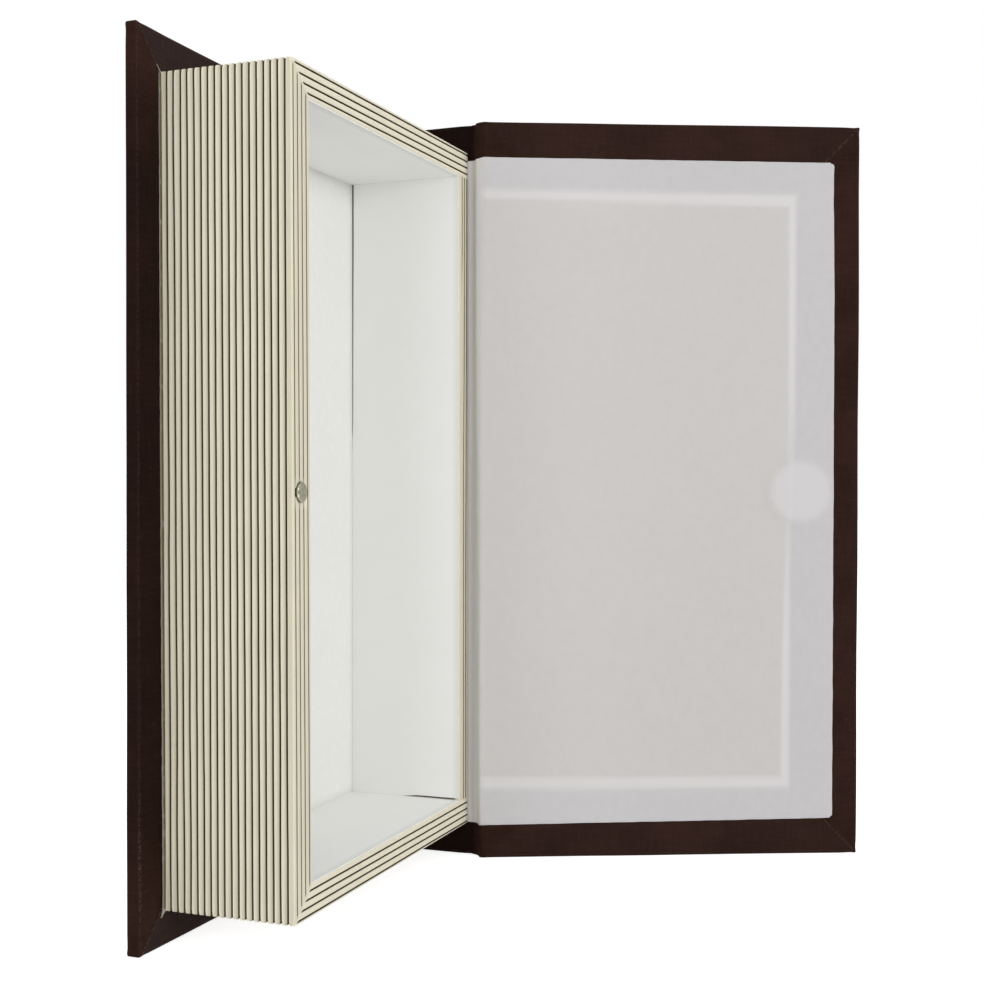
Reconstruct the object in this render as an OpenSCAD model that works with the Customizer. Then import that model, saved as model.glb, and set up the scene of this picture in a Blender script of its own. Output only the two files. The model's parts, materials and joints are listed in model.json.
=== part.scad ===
// A box made up to look like a cloth-bound book, standing on its tail edges with the lid swung open.
// The case is three grey boards in book cloth. A grooved frame glued inside it stands for the pages.
// X runs from the back cover towards the lid, Y from the fore-edge to the spine, and Z up to the head.
// The origin is on the surface that the book stands on, under the middle of the whole open book.

/* [Cover] */
// Height of the boards in their cloth, tail edge to head edge
cover_h = 270; // [230:1:310]
// Thickness of the grey board
board_t = 3.7; // [2.5:0.1:5]
// Thickness of the book cloth, and of the card that fills in beside its turned-in edges
cloth_t = 0.4; // [0.3:0.05:0.6]
// Cover past the frame at head and tail
end_square = 11; // [6:0.5:15]
// Cover past the frame at the fore-edge
fore_square = 12.2; // [6:0.1:15]
// Cloth turned in over the inner faces at head and tail
end_turn_in = 25; // [22:0.5:26]
// Cloth turned in over the inner faces at the fore-edge
fore_turn_in = 23.6; // [20:0.2:24.6]
// From the head and tail edges to the infill card
end_infill = 29; // [27:0.5:34]
// From the fore-edge to the infill card
fore_infill = 26.8; // [25:0.2:32]
// Radius of the long soft edges of the covers
edge_r = 0.8; // [0.5:0.1:1]
// Radius of the corners of the covers
corner_r = 1.5; // [1.2:0.1:4]

/* [Frame] */
// Width of the frame, fore-edge to spine
frame_w = 132.3; // [115:0.1:160]
// Depth of the frame's walls, back to rim
wall_depth = 43.5; // [30:0.1:60]
// Thickness of the fore-edge wall
fore_wall_t = 10.2; // [9:0.1:13]
// Thickness of the head and tail walls
end_wall_t = 9.6; // [9:0.1:13]
// Thickness of the spine wall
spine_wall_t = 7.6; // [6.5:0.1:10]

/* [Page grooves] */
// Grooves across the outside of each wall, the lowest one half cut away
face_grooves = 19; // [10:1:22]
// Width of a groove
groove_w = 0.8; // [0.5:0.05:1]
// Depth of the grooves in the outside
face_groove_depth = 1; // [0.4:0.1:1.5]
// Grooves along the rim of the fore-edge, head and tail walls
rim_grooves = 4; // [2:1:4]
// Grooves along the rim of the spine wall
spine_rim_grooves = 2; // [1:1:2]
// Depth of the grooves in the rim
rim_groove_depth = 0.8; // [0.4:0.1:1.2]
// From the outside of a wall to its first rim groove
rim_outer_land = 0.8; // [0.6:0.05:1]
// From the last rim groove to the inside of the wall
rim_inner_land = 1.8; // [1.4:0.1:2.2]
// From the spine side of the spine wall to its first rim groove
spine_outer_land = 1; // [1:0.1:2]
// From the last rim groove of the spine wall to its inside
spine_inner_land = 3.2; // [2:0.1:3.2]

/* [Linings] */
// Thickness of the sheet on the floor
floor_lining_t = 0.4; // [0.3:0.05:0.8]
// How far the floor's sheet shows past the fore-edge wall
floor_lining_peek = 1.2; // [0:0.1:2]
// Thickness of the paper on the walls' insides
wall_lining_t = 0.35; // [0.2:0.05:0.6]
// From the rim down to the walls' paper
wall_lining_drop = 0.3; // [0.1:0.1:1]
// Thickness of the paper pasted on the lid and across its joint
paper_t = 0.25; // [0.15:0.05:0.4]
// From the head edge to the lid's paper
lining_head = 13.2; // [9:0.2:18]
// From the tail edge to the lid's paper
lining_tail = 12.8; // [9:0.2:18]
// From the lid's fore-edge to its paper
lining_fore = 9.4; // [5:0.2:10.4]

/* [Joint] */
// How far the spine's inner face reaches past the rim
spine_over = 3.4; // [2.8:0.1:4.4]
// Distance between the joint's two creases
joint_w = 5.25; // [5:0.05:7]
// Bare cloth between a crease and the pieces beside it
crease_gap = 0.5; // [0.45:0.05:0.7]
// Angle of the lid from closed
open_angle = 114; // [20:0.1:180]
// Share of the lid's turn that the crease at the spine takes
fold_share = 0.65; // [0.6:0.01:0.7]

/* [Closure] */
// Diameter of the magnet
magnet_d = 6.2; // [5:0.1:7]
// Thickness of the magnet
magnet_t = 3.2; // [2:0.1:5]
// How far the magnet stands out of the rim
magnet_proud = 0.7; // [0.2:0.1:1.2]
// Gap around the magnet in its hole
magnet_fit = 0.3; // [0.05:0.05:0.4]
// From the outside of the fore-edge wall to the magnet's centre
magnet_inset = 5; // [4.4:0.1:5.6]
// Diameter of the steel disc under the lid's paper
keeper_d = 22; // [14:0.5:24]
// Thickness of the steel disc
keeper_t = 1; // [0.6:0.1:1.5]
// How far the steel disc stands out of the lid's inner face
keeper_proud = 0.4; // [0.1:0.05:0.5]
// From the magnet's middle to the steel disc's, towards the spine
keeper_offset = 5.3; // [0:0.1:7]
// Gap that is left between the magnet and the lid's paper when the lid is shut
shut_gap = 0.15; // [0.1:0.05:0.5]

/* [Hidden] */

$fn = 48;
past = 1; // how far a cut runs past the face that it opens
cover_t = board_t + 2 * cloth_t;
rim_x = floor_lining_t + wall_depth;
frame_bottom = end_square;
frame_span = cover_h - 2 * end_square;
inner_y = fore_wall_t;
inner_w = frame_w - fore_wall_t - spine_wall_t;
inner_z = frame_bottom + end_wall_t;
inner_h = frame_span - 2 * end_wall_t;
lining_h = cover_h - lining_tail - lining_head;

// The joint folds at two creases, and its strip of cloth swings between them
lid_gap = magnet_proud + keeper_proud + paper_t + shut_gap;
shut_dx = lid_gap - spine_over;
shut_dy = -sqrt(joint_w * joint_w - shut_dx * shut_dx);
shut_joint_angle = atan2(shut_dy, shut_dx);
joint_angle = shut_joint_angle + fold_share * open_angle;
lid_angle = open_angle - 90;
joint_inset = crease_gap - shut_dy;
cover_w = frame_w - joint_inset + fore_square;
keeper_pos = frame_w - joint_inset - magnet_inset - keeper_offset;
spine_crease = [rim_x + spine_over, frame_w];
lid_crease = spine_crease + joint_w * [cos(joint_angle), sin(joint_angle)];

// The back joint copies the front one as it lies when shut, without the lid's gap
back_over = spine_over - lid_gap;
spine_w = back_over + rim_x + spine_over;

// The origin is under the middle of the box around the whole open book
lid_ends = [
    for (u = [crease_gap + edge_r, crease_gap + cover_w - edge_r], v = [edge_r, cover_t - edge_r])
        lid_crease + [u * cos(lid_angle) - v * sin(lid_angle), u * sin(lid_angle) + v * cos(lid_angle)]
];
low_x = min(-cover_t, min([for (p = lid_ends) p.x]) - edge_r);
high_x = max(spine_crease.x, max([for (p = lid_ends) p.x]) + edge_r);
low_y = min(-fore_square, min([for (p = lid_ends) p.y]) - edge_r);
high_y = max(frame_w + cover_t, max([for (p = lid_ends) p.y]) + edge_r);
centre = [(low_x + high_x) / 2, (low_y + high_y) / 2];

cloth_colour = "#3a2620";
board_colour = "#a79b88";
card_colour = "#d9d2c2";
frame_colour = "#e6dfc9";
paper_colour = "#cfcdc9";
lining_colour = "#dcdcd6";

// Places its children, drawn from the frame's back fore-edge corner, in the book's own frame
module in_book() translate([-centre.x, -centre.y, 0]) children();

// Covers are drawn with X from the hinge edge to the fore-edge and Y outwards from the inner face
module on_lid() in_book() translate([lid_crease.x, lid_crease.y, 0]) rotate([0, 0, lid_angle])
    translate([crease_gap, 0, 0]) children();

module on_back() in_book() translate([0, frame_w - joint_inset, 0]) mirror([1, 0, 0]) rotate([0, 0, -90])
    children();

// The spine is drawn with X from its back edge to its front edge and Y outwards from the inner face
module on_spine() in_book() translate([-back_over, frame_w, 0]) children();

// The joint's strip is drawn with X from the spine's crease to the lid's crease and Y outwards
module on_joint() in_book() translate([spine_crease.x, spine_crease.y, 0]) rotate([0, 0, joint_angle])
    children();

module rounded_rect(size, r) {
    translate([r, 0]) square([size.x - 2 * r, size.y]);
    translate([0, r]) square([size.x, size.y - 2 * r]);
    for (x = [r, size.x - r], y = [r, size.y - r]) translate([x, y]) circle(r);
}

// A plate that stands in the XZ plane, Y deep, with rounded corners
module plate(w, t, h, r) translate([0, t, 0]) rotate([90, 0, 0]) linear_extrude(t) rounded_rect([w, h], r);

// A board's shape in its cloth: soft along every edge and round at the corners
module wrapped_shape(w) intersection() {
    plate(w, cover_t, cover_h, corner_r);
    linear_extrude(cover_h) rounded_rect([w, cover_t], edge_r);
    rotate([90, 0, 90]) linear_extrude(w) rounded_rect([cover_t, cover_h], edge_r);
}

module bare_board(w) translate([cloth_t, cloth_t, cloth_t])
    plate(w - 2 * cloth_t, board_t, cover_h - 2 * cloth_t, corner_r - cloth_t);

// Cloth around a board, open on the inner face from one x to another between the turned-in ends
module wrapping(w, from_x, to_x) difference() {
    wrapped_shape(w);
    bare_board(w);
    translate([from_x, -past, end_turn_in])
        cube([to_x - from_x, cloth_t + 2 * past, cover_h - 2 * end_turn_in]);
}

module infill(from_x, to_x) translate([from_x, 0, end_infill])
    cube([to_x - from_x, cloth_t, cover_h - 2 * end_infill]);

module cover_cloth() wrapping(cover_w, cloth_t, cover_w - fore_turn_in);

module cover_infill() infill(cloth_t, cover_w - fore_infill);

module back_board() color(board_colour) on_back() bare_board(cover_w);
module back_infill_card() color(card_colour) on_back() cover_infill();
module back_cloth() color(cloth_colour) on_back() cover_cloth();

// Cloth pressed into the fixed joint between the back cover and the spine
module back_hinge_cloth() color(cloth_colour) in_book() linear_extrude(cover_h) polygon([
    [-back_over, frame_w],
    [-back_over + cloth_t, frame_w],
    [0, frame_w - joint_inset],
    [-cloth_t, frame_w - joint_inset]
]);

module spine_board() color(board_colour) on_spine() bare_board(spine_w);
module spine_infill_card() color(card_colour) on_spine() infill(cloth_t, spine_w - cloth_t);
module spine_cloth() color(cloth_colour) on_spine() wrapping(spine_w, cloth_t, spine_w - cloth_t);

// The lid's paper runs on over the joint to the corner of the frame, where this end of it is glued
module spine_edge_lining() color(paper_colour) in_book() translate([rim_x, frame_w - paper_t, lining_tail])
    cube([spine_over - cloth_t, paper_t, lining_h]);

// Grooves along X in the outside of a wall, at steps up from the back
module face_cuts(length) for (i = [0:face_grooves - 1])
    translate([-past, -past, floor_lining_t + i * wall_depth / face_grooves - groove_w / 2])
        cube([length + 2 * past, past + face_groove_depth, groove_w]);

// Grooves along X in the rim, at steps in from the outside
module rim_cuts(length, count, outer_land, inner_land, wall_t) {
    step = count > 1 ? (wall_t - outer_land - inner_land) / (count - 1) : 0;
    for (i = [0:count - 1])
        translate([-past, outer_land + i * step - groove_w / 2, rim_x - rim_groove_depth])
            cube([length + 2 * past, groove_w, rim_groove_depth + past]);
}

// A grooved wall along X, with Y inwards from its outside and Z up from the back cover
module page_wall(length, wall_t) difference() {
    translate([0, 0, floor_lining_t]) cube([length, wall_t, wall_depth]);
    face_cuts(length);
    rim_cuts(length, rim_grooves, rim_outer_land, rim_inner_land, wall_t);
}

// Cuts a wall's end to the mitre that it shares with the wall round the corner
module mitre(wall_t, other_t) translate([0, 0, -past]) linear_extrude(rim_x + 2 * past)
    polygon([[-past, -past * wall_t / other_t], [other_t, wall_t], [other_t, wall_t + past], [-past, wall_t + past]]);

module magnet_hole() translate([frame_span / 2, magnet_inset, rim_x - magnet_t + magnet_proud])
    cylinder(d = magnet_d + 2 * magnet_fit, h = magnet_t);

// Stands a wall that is drawn on its back in its place: X up along the fore-edge, Z towards the lid
module on_fore_edge() in_book() translate([0, 0, frame_bottom]) rotate([0, -90, 0]) mirror([0, 0, 1]) children();

// The tail wall is drawn with X from the fore-edge to the spine and Y up
module on_tail() in_book() translate([0, 0, frame_bottom]) rotate([90, 0, 90]) children();

module on_head() translate([0, 0, cover_h]) mirror([0, 0, 1]) on_tail() children();

module fore_edge_wall() color(frame_colour) on_fore_edge() difference() {
    page_wall(frame_span, fore_wall_t);
    mitre(fore_wall_t, end_wall_t);
    translate([frame_span, 0, 0]) mirror([1, 0, 0]) mitre(fore_wall_t, end_wall_t);
    magnet_hole();
}

module end_wall() difference() {
    page_wall(frame_w, end_wall_t);
    mitre(end_wall_t, fore_wall_t);
}

module tail_wall() color(frame_colour) on_tail() end_wall();
module head_wall() color(frame_colour) on_head() end_wall();

// The spine wall is drawn with X up, between the other two, and Y in from the spine
module spine_wall() color(frame_colour) in_book() translate([0, frame_w, inner_z])
    rotate([0, -90, 0]) rotate([180, 0, 0]) difference() {
        translate([0, 0, floor_lining_t]) cube([inner_h, spine_wall_t, wall_depth]);
        rim_cuts(inner_h, spine_rim_grooves, spine_outer_land, spine_inner_land, spine_wall_t);
    }

module floor_lining() color(lining_colour) in_book() translate([0, -floor_lining_peek, frame_bottom])
    cube([floor_lining_t, frame_w + floor_lining_peek, frame_span]);

// Paper on the inside of a wall, from the floor to just under the rim
module wall_lining(w, h) color(lining_colour)
    cube([wall_depth - wall_lining_drop, w, h]);

module tail_lining() in_book() translate([floor_lining_t, inner_y, inner_z])
    wall_lining(inner_w, wall_lining_t);

module head_lining() in_book() translate([floor_lining_t, inner_y, inner_z + inner_h - wall_lining_t])
    wall_lining(inner_w, wall_lining_t);

module fore_edge_lining() in_book() translate([floor_lining_t, inner_y, inner_z + wall_lining_t])
    wall_lining(wall_lining_t, inner_h - 2 * wall_lining_t);

module spine_lining() in_book()
    translate([floor_lining_t, inner_y + inner_w - wall_lining_t, inner_z + wall_lining_t])
        wall_lining(wall_lining_t, inner_h - 2 * wall_lining_t);

module magnet() color("silver") in_book()
    translate([rim_x - magnet_t + magnet_proud, magnet_inset, cover_h / 2])
        rotate([0, 90, 0]) cylinder(d = magnet_d, h = magnet_t);

// The joint's strip stops short of both creases, so that it can fold at each
module joint_strip(y, t, z, h) on_joint() translate([crease_gap, y, z])
    cube([joint_w - 1.5 * crease_gap, t, h]);

module front_hinge_cloth() color(cloth_colour) joint_strip(0, cloth_t, 0, cover_h);
module front_hinge_lining() color(paper_colour) joint_strip(-paper_t, paper_t, lining_tail, lining_h);

// The steel disc's place in the lid, run on past the disc's inner face by its reach
module keeper_space(reach) translate([keeper_pos, keeper_t - keeper_proud, cover_h / 2])
    rotate([90, 0, 0]) cylinder(d = keeper_d, h = keeper_t + reach);

module lid_board() color(board_colour) on_lid() difference() {
    bare_board(cover_w);
    keeper_space(past);
}

module lid_infill_card() color(card_colour) on_lid() difference() {
    cover_infill();
    keeper_space(past);
}

module lid_cloth() color(cloth_colour) on_lid() difference() {
    cover_cloth();
    keeper_space(past);
}

// The lid's paper lies flat on cloth and card and swells over the steel disc
module lid_lining() color(paper_colour) on_lid() difference() {
    union() {
        translate([0, -paper_t, lining_tail]) cube([cover_w - lining_fore, paper_t, lining_h]);
        translate([keeper_pos, 0, cover_h / 2]) rotate([90, 0, 0])
            cylinder(d = keeper_d + 2 * paper_t, h = keeper_proud + paper_t);
    }
    keeper_space(0);
}

module keeper_disc() color("gainsboro") on_lid() keeper_space(0);

back_board();
back_infill_card();
back_cloth();
back_hinge_cloth();
spine_board();
spine_infill_card();
spine_cloth();
spine_edge_lining();
fore_edge_wall();
head_wall();
tail_wall();
spine_wall();
floor_lining();
fore_edge_lining();
head_lining();
tail_lining();
spine_lining();
magnet();
front_hinge_cloth();
front_hinge_lining();
lid_board();
lid_infill_card();
lid_cloth();
lid_lining();
keeper_disc();
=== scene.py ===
"""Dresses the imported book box: cloth covers, a grooved and painted frame, paper linings and a magnet.

Lengths are in millimetres up to the moment a mesh is made, which is in metres. The book's own axes are
X from the back cover's inner face towards the lid, Y from the frame's fore-edge to the spine, and Z up.
"""

import json
import math

import bmesh
import bpy
from mathutils import Matrix, Vector, noise


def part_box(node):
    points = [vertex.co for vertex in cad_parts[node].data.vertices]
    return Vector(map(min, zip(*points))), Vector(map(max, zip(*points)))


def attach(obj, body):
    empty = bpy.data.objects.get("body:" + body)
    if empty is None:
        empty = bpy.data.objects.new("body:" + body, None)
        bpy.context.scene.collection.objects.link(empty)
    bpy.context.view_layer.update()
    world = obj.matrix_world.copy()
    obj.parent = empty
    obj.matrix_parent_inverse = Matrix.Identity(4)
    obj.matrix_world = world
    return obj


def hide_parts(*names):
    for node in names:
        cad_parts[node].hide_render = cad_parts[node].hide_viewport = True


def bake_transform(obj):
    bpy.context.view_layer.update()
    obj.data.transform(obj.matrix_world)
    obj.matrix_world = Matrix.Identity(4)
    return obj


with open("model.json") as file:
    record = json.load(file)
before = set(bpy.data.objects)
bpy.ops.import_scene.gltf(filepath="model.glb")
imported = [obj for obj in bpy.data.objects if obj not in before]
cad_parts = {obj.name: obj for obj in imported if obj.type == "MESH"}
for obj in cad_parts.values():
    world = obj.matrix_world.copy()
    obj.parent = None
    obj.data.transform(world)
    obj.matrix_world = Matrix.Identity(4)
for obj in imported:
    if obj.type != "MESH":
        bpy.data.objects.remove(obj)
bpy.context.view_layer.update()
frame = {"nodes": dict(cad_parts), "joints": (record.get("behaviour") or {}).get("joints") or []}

MM = 0.001


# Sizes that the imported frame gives


def box_mm(node):
    low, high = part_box(node)
    return low / MM, high / MM


back_low, back_high = box_mm("back_cloth")
spine_low, spine_high = box_mm("spine_cloth")
wall_low, wall_high = box_mm("fore_edge_wall")
head_low, head_high = box_mm("head_wall")
spine_wall_low, spine_wall_high = box_mm("spine_wall")
floor_high = box_mm("floor_lining")[1]
magnet_low, magnet_high = box_mm("magnet")

BOOK = Vector((back_high.x, wall_low.y, 0))
COVER_T = back_high.x - back_low.x
COVER_H = back_high.z
COVER_W = back_high.y - back_low.y
BACK_HINGE_Y = back_high.y - BOOK.y
FLOOR_T = floor_high.x - BOOK.x
RIM = wall_high.x - BOOK.x
FRAME_LOW = wall_low.z
FRAME_HIGH = wall_high.z
FRAME_W = head_high.y - BOOK.y
FORE_T = wall_high.y - wall_low.y
END_T = head_high.z - head_low.z
SPINE_T = spine_wall_high.y - spine_wall_low.y
BACK_OVER = BOOK.x - spine_low.x
SPINE_W = spine_high.x - spine_low.x
SPINE_CREASE, LID_CREASE = ((Vector(j["pos_m"]) / MM - BOOK).to_2d() for j in frame["joints"])
MAGNET_D = magnet_high.z - magnet_low.z

# Sizes that follow the part's source

LID_ANGLE = math.radians(24)
EDGE_R = 0.8
CREASE_GAP = 0.5
FACE_GROOVES = 19
FACE_DEPTH = 1.0
RIM_GROOVES = 4
RIM_DEPTH = 0.8
LINING_T = 0.35
LINING_DROP = 0.3
PAPER_T = 0.25
CLOTH_T = 0.4
LINING_FORE = 9.4
END_TURN_IN = 25
END_INFILL = 29
FORE_TURN_IN = 23.6
FORE_INFILL = 26.8
KEEPER_D = 22
KEEPER_PROUD = 0.4
KEEPER_OFFSET = 5.3
MAGNET_FIT = 0.3

# How the frame stands a little crooked in its covers, and how far magnet and disc lie off their places

FRAME_SAG = 0.45
FRAME_TILT = 1.2
FRAME_LEAN = 0.3
MAGNET_OFF_Y = -0.5
MAGNET_OFF_Z = 0.35
KEEPER_OFF_U = 0.7


# Places: each turns a sub-part's own millimetres into the frame's metres


def in_book(x, y, z):
    return (Vector((x, y, z)) + BOOK) * MM


def in_frame(x, y, z):
    share = y / FRAME_W
    lean = FRAME_LEAN * (2 * z / COVER_H - 1) * (1 - share)
    return in_book(x - lean, y, z - FRAME_SAG + FRAME_TILT * share)


def on_back(u, v, z):
    """u runs from the cover's hinge edge to its fore-edge, and v outwards from its inner face."""
    return in_book(-v, BACK_HINGE_Y - u, z)


def square_to(way):
    """The way at a right angle to another, on its left in plan."""
    return Vector((-way.y, way.x))


lid_way = Vector((math.cos(LID_ANGLE), math.sin(LID_ANGLE)))
lid_out = square_to(lid_way)


def on_lid(u, v, z):
    at = LID_CREASE + lid_way * (CREASE_GAP + u) + lid_out * v
    return in_book(at.x, at.y, z)


def on_spine(u, v, z):
    return in_book(u - BACK_OVER, FRAME_W + v, z)


def on_fore_wall(a, b, c):
    """a runs along the wall, b inwards from its outside, and c up from the back cover to the rim."""
    return in_frame(c, b, FRAME_LOW + a)


def on_tail_wall(a, b, c):
    return in_frame(c, a, FRAME_LOW + b)


def on_head_wall(a, b, c):
    return in_frame(c, a, FRAME_HIGH - b)


def on_spine_wall(a, b, c):
    return in_frame(c, FRAME_W - b, FRAME_LOW + END_T + a)


# Small helpers


def smooth(x):
    x = min(max(x, 0.0), 1.0)
    return x * x * (3 - 2 * x)


def bell(x, width):
    return math.exp(-(x / width) ** 2)


def ripple(seed, x, y=0.0):
    """A smooth random value from about -1 to 1 that is the same in every run."""
    return noise.noise(Vector((x, y, seed * 7.31))) * 1.6


def seed_of(name):
    return sum(map(ord, name))


def spread(start, end, count):
    return [start + (end - start) * i / (count - 1) for i in range(count)]


def strip_faces(rows, columns, closed):
    last = columns if closed else columns - 1
    faces = []
    for r in range(rows - 1):
        for c in range(last):
            n = (c + 1) % columns
            faces.append((r * columns + c, r * columns + n, (r + 1) * columns + n, (r + 1) * columns + c))
    return faces


def tube_faces(points, columns):
    """Faces for a tube of rings, each of so many points, with a lid at either end."""
    ends = [tuple(range(columns))[::-1], tuple(range(len(points) - columns, len(points)))]
    return strip_faces(len(points) // columns, columns, True) + ends


def box_map(mesh, points):
    """A UV in metres that looks at each face along the axis that it faces most."""
    uv = mesh.uv_layers.new(name="weave")
    for polygon in mesh.polygons:
        corners = [Vector(points[mesh.loops[i].vertex_index]) for i in polygon.loop_indices]
        normal = (corners[1] - corners[0]).cross(corners[2] - corners[1])
        flat = max(range(3), key=lambda k: abs(normal[k]))
        kept = [k for k in range(3) if k != flat]
        for i, corner in zip(polygon.loop_indices, corners):
            uv.data[i].uv = (corner[kept[0]] * MM, corner[kept[1]] * MM)


def add_object(name, data):
    made = bpy.data.objects.new(name, data)
    bpy.context.scene.collection.objects.link(made)
    return made


def piece(name, points, faces, place, body, material, marks=None, angle=40):
    """Makes a mesh of points in a sub-part's own millimetres. marks gives each mark's value at each point."""
    mesh = bpy.data.meshes.new(name)
    mesh.from_pydata([place(*p) for p in points], [], faces)
    for mark, values in (marks or {}).items():
        mesh.attributes.new(mark, "FLOAT", "POINT").data.foreach_set("value", values)
    box_map(mesh, points)
    work = bmesh.new()
    work.from_mesh(mesh)
    bmesh.ops.recalc_face_normals(work, faces=work.faces)
    work.to_mesh(mesh)
    work.free()
    mesh.shade_smooth()
    mesh.set_sharp_from_angle(angle=math.radians(angle))
    mesh.materials.append(material)
    made = add_object(name, mesh)
    if body:
        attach(made, body)
    return made


def sheet(name, front, back, place, body, slot, material, marks=None):
    """A thin closed sheet between two equal grids of points. marks gives a grid of values for each mark."""
    rows, columns = len(front), len(front[0])
    size = rows * columns
    points = [p for row in front + back for p in row]
    faces = strip_faces(rows, columns, False)
    faces += [tuple(size + k for k in reversed(f)) for f in faces]
    rim = list(range(columns)) + [r * columns + columns - 1 for r in range(1, rows)]
    rim += [(rows - 1) * columns + i for i in range(columns - 2, -1, -1)]
    rim += [r * columns for r in range(rows - 2, 0, -1)]
    faces += [(a, size + a, size + b, b) for a, b in zip(rim, rim[1:] + rim[:1])]
    values = {mark: [v for row in grid + grid for v in row] for mark, grid in (marks or {}).items()}
    return piece(name, points, faces, place, body, material, values)


# Materials


class Nodes:
    """Short ways to add nodes to a material or world."""

    def __init__(self, holder):
        holder.use_nodes = True
        self.tree = holder.node_tree

    def add(self, kind, settings=None, **inputs):
        made = self.tree.nodes.new(kind)
        for key, value in (settings or {}).items():
            setattr(made, key, value)
        for key, value in inputs.items():
            self.feed(made.inputs[key.replace("_", " ")], value)
        return made

    def feed(self, socket, value):
        if isinstance(value, bpy.types.NodeSocket):
            self.tree.links.new(value, socket)
        else:
            socket.default_value = value

    def math(self, operation, a, b=0.0, c=None):
        made = self.add("ShaderNodeMath", {"operation": operation})
        self.feed(made.inputs[0], a)
        self.feed(made.inputs[1], b)
        if c is not None:
            self.feed(made.inputs[2], c)
        return made.outputs[0]

    def ramp(self, value, low, high, to_low=0.0, to_high=1.0):
        made = self.add("ShaderNodeMapRange", {"interpolation_type": "SMOOTHSTEP"}, Value=value,
                        From_Min=low, From_Max=high, To_Min=to_low, To_Max=to_high)
        return made.outputs["Result"]


class Shading(Nodes):
    """A Principled material, and short ways to vary it."""

    def __init__(self, name, roughness=0.6, specular=0.4):
        self.material = bpy.data.materials.new(name)
        super().__init__(self.material)
        self.surface = self.tree.nodes["Principled BSDF"]
        self.surface.inputs["Roughness"].default_value = roughness
        self.surface.inputs["Specular IOR Level"].default_value = specular

    def mix(self, share, a, b):
        made = self.add("ShaderNodeMix", {"data_type": "RGBA"})
        for socket, value in zip((made.inputs[0], made.inputs[6], made.inputs[7]), (share, a, b)):
            self.feed(socket, value if isinstance(value, (float, bpy.types.NodeSocket)) else (*value, 1))
        return made.outputs[2]

    def mark(self, name):
        return self.add("ShaderNodeAttribute", {"attribute_name": name}).outputs["Fac"]

    def noise(self, size, detail=3.0, stretch=(1, 1, 1), roughness=0.55):
        """Noise in blotches about size millimetres wide, longer along an axis where stretch is small."""
        where = self.add("ShaderNodeTexCoord").outputs["Object"]
        placed = self.add("ShaderNodeMapping", Vector=where, Scale=stretch).outputs["Vector"]
        made = self.add("ShaderNodeTexNoise", Vector=placed, Scale=1 / (size * MM),
                        Detail=detail, Roughness=roughness)
        return made.outputs["Fac"]

    def bump(self, height, depth, strength=1.0, before=None):
        """depth is the height in millimetres that a height of 1 stands for."""
        made = self.add("ShaderNodeBump", Strength=strength, Distance=depth * MM, Height=height)
        if before is not None:
            self.feed(made.inputs["Normal"], before)
        return made.outputs["Normal"]

    def finish(self, colour=None, normal=None, roughness=None):
        for key, value in (("Base Color", colour), ("Normal", normal), ("Roughness", roughness)):
            if value is not None:
                self.feed(self.surface.inputs[key], value)
        return self.material


def weave_height(s, pitch):
    """A plain weave on the UV that every piece has: threads that pass over and under each other."""
    uv = s.add("ShaderNodeUVMap", {"uv_map": "weave"}).outputs["UV"]
    where = s.add("ShaderNodeSeparateXYZ", Vector=uv)
    turn = math.pi / (pitch * MM)
    across = s.math("MULTIPLY", where.outputs["X"], turn)
    along = s.math("MULTIPLY", where.outputs["Y"], turn)
    warp = s.math("ABSOLUTE", s.math("SINE", across))
    weft = s.math("ABSOLUTE", s.math("SINE", along))
    over = s.math("MULTIPLY", s.math("SINE", s.math("ADD", across, math.pi / 2)),
                  s.math("SINE", s.math("ADD", along, math.pi / 2)))
    over = s.math("MULTIPLY_ADD", over, 0.5, 0.5)
    under = s.math("SUBTRACT", 1.0, over)
    return s.math("ADD", s.math("MULTIPLY", warp, over), s.math("MULTIPLY", weft, under))


def book_cloth():
    s = Shading("book_cloth", roughness=0.75, specular=0.05)
    weave = weave_height(s, 0.5)
    slub_up = s.noise(0.8, detail=2.0, stretch=(1, 1, 0.1))
    slub_across = s.noise(0.8, detail=2.0, stretch=(0.09, 0.09, 1))
    slub = s.math("MULTIPLY", s.math("ADD", slub_up, slub_across), 0.5)
    cloudy = s.noise(22, detail=4.0)
    base = s.mix(s.ramp(cloudy, 0.3, 0.7), (0.0165, 0.0066, 0.0045), (0.0255, 0.0104, 0.0072))
    base = s.mix(s.ramp(weave, 0.15, 0.95, 0.0, 0.2), base, (0.030, 0.0125, 0.0085))
    base = s.mix(s.ramp(slub, 0.52, 0.66, 0.0, 0.22), base, (0.036, 0.0155, 0.0105))
    base = s.mix(s.ramp(slub, 0.46, 0.36, 0.0, 0.25), base, (0.010, 0.0036, 0.0024))
    fleck = s.noise(0.4, detail=1.0)
    base = s.mix(s.ramp(fleck, 0.70, 0.77, 0.0, 0.4), base, (0.080, 0.050, 0.042))
    # Painted shade: the shade mark darkens the cloth where the frame shades the back cover and the spine.
    base = s.mix(s.math("MULTIPLY", s.mark("shade"), 0.55), base, (0.0040, 0.0012, 0.0004))
    # Painted sheen: the sheen mark lightens the turn-ins at a cover's head and tail to a greyer tone, like a
    # reflection of the white surroundings.
    base = s.mix(s.mark("sheen"), base, (0.0310, 0.0205, 0.0200))
    thread = s.ramp(s.noise(0.8, detail=2.0), 0.42, 0.62)
    # This mark lightens the cloth: real wear along the mitres, and along a cover's inner edge partly wear and
    # partly a painted highlight.
    base = s.mix(s.math("MULTIPLY", s.mark("wear_and_highlight"), thread), base, (0.120, 0.078, 0.066))
    normal = s.bump(weave, 0.05, 0.6)
    normal = s.bump(slub, 0.06, 0.5, normal)
    normal = s.bump(s.noise(5.0, detail=3.0), 0.10, 0.4, normal)
    return s.finish(base, normal, s.ramp(slub, 0.4, 0.7, 0.74, 0.56))


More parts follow.
